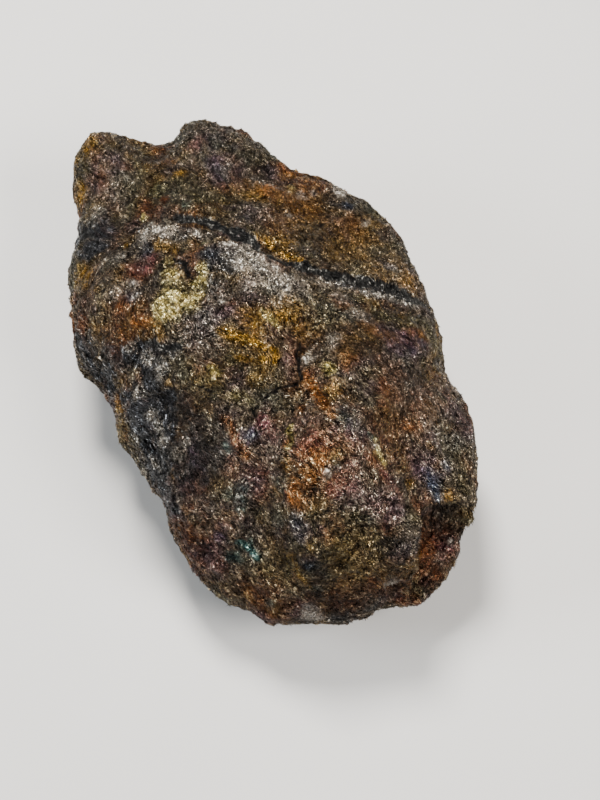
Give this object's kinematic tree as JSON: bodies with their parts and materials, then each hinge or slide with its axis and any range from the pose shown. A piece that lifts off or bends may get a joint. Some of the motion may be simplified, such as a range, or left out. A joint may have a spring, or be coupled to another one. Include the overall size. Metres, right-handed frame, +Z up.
{
  "type": "peacock ore specimen",
  "caption": "Rough lump of iridescent copper ore with a grey metallic seam across its top, broken faces and an undercut corner, resting on a flat spot.",
  "frame": {"origin": "on the flat spot that the lump rests on, near its middle", "axes": "+Z up through the best face, +Y towards the narrow back end, +X towards the side with the undercut corner"},
  "size_m": [0.099, 0.1276, 0.0501],
  "materials": {
    "ore": "rough, semi-metallic, tarnished brown, gold, violet and blue, with a silver-grey seam"
  },
  "bodies": {
    "root": {"peacock_ore": "ore"}
  },
  "joints": []
}
